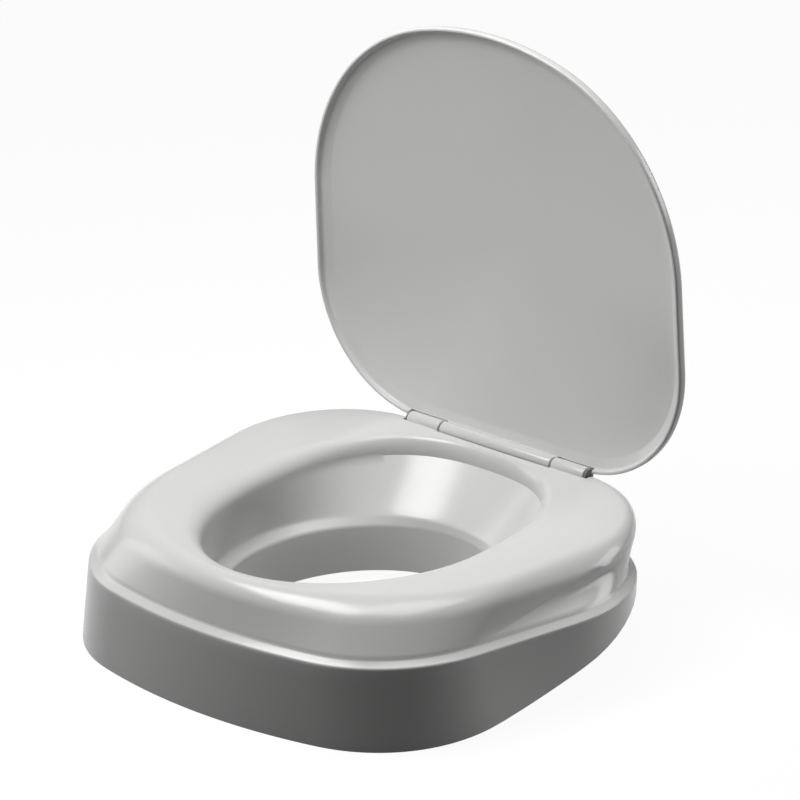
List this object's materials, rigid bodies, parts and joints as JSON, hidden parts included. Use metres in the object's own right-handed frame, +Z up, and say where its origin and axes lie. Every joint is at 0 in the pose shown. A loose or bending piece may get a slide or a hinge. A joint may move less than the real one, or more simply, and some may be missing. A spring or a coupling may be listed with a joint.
{
  "type": "raised toilet seat",
  "caption": "Raised toilet seat with hinged lid: moulded shell with stepped skirt, funnel opening and collar, and sliding brackets locked by knobs.",
  "frame": {"origin": "on the surface the seat stands on, in the middle of its width and of its depth with the lid open", "axes": "+Z up, -Y towards the front of the seat, +X to the right when the seat is seen from the front"},
  "size_m": [0.39, 0.3345, 0.398],
  "materials": {
    "shell_plastic": "gloss moulded, pale warm white",
    "lid_plastic": "gloss moulded, pale warm white",
    "pin_plastic": "satin nylon",
    "bracket_plastic": "satin moulded",
    "knob_plastic": "satin moulded, dark grey",
    "rubber": "matt soft rubber",
    "steel": "plain turned steel"
  },
  "bodies": {
    "base": {"seat_shell": "shell_plastic", "hinge_pin_left": "pin_plastic", "hinge_pin_right": "pin_plastic", "rest_pad_front_left": "rubber", "rest_pad_front_right": "rubber", "rest_pad_rear_left": "rubber", "rest_pad_rear_right": "rubber", "bracket_nut_left": "steel", "bracket_nut_right": "steel"},
    "lid": {"lid": "lid_plastic"},
    "left_bracket": {"bracket_left": "bracket_plastic", "bracket_pad_left": "rubber"},
    "left_knob": {"bracket_knob_left": "knob_plastic", "bracket_screw_left": "steel", "bracket_washer_left": "steel"},
    "right_bracket": {"bracket_right": "bracket_plastic", "bracket_pad_right": "rubber"},
    "right_knob": {"bracket_knob_right": "knob_plastic", "bracket_screw_right": "steel", "bracket_washer_right": "steel"}
  },
  "joints": [
    {"name": "lid_hinge", "type": "hinge", "parent": "base", "child": "lid", "pos_m": [0, 0.1407, 0.0917], "axis": [1, 0, 0], "range_deg": [0, 90]},
    {"name": "left_bracket_slide", "type": "slide", "parent": "base", "child": "left_bracket", "axis": [-1, 0, 0], "range_m": [0, 0.014]},
    {"name": "left_knob_turn", "type": "hinge", "parent": "base", "child": "left_knob", "pos_m": [-0.141, 0, 0.05], "axis": [0, 0, 1], "range_deg": [0, 720]},
    {"name": "right_bracket_slide", "type": "slide", "parent": "base", "child": "right_bracket", "axis": [1, 0, 0], "range_m": [0, 0.014]},
    {"name": "right_knob_turn", "type": "hinge", "parent": "base", "child": "right_knob", "pos_m": [0.141, 0, 0.05], "axis": [0, 0, 1], "range_deg": [0, 720]}
  ]
}
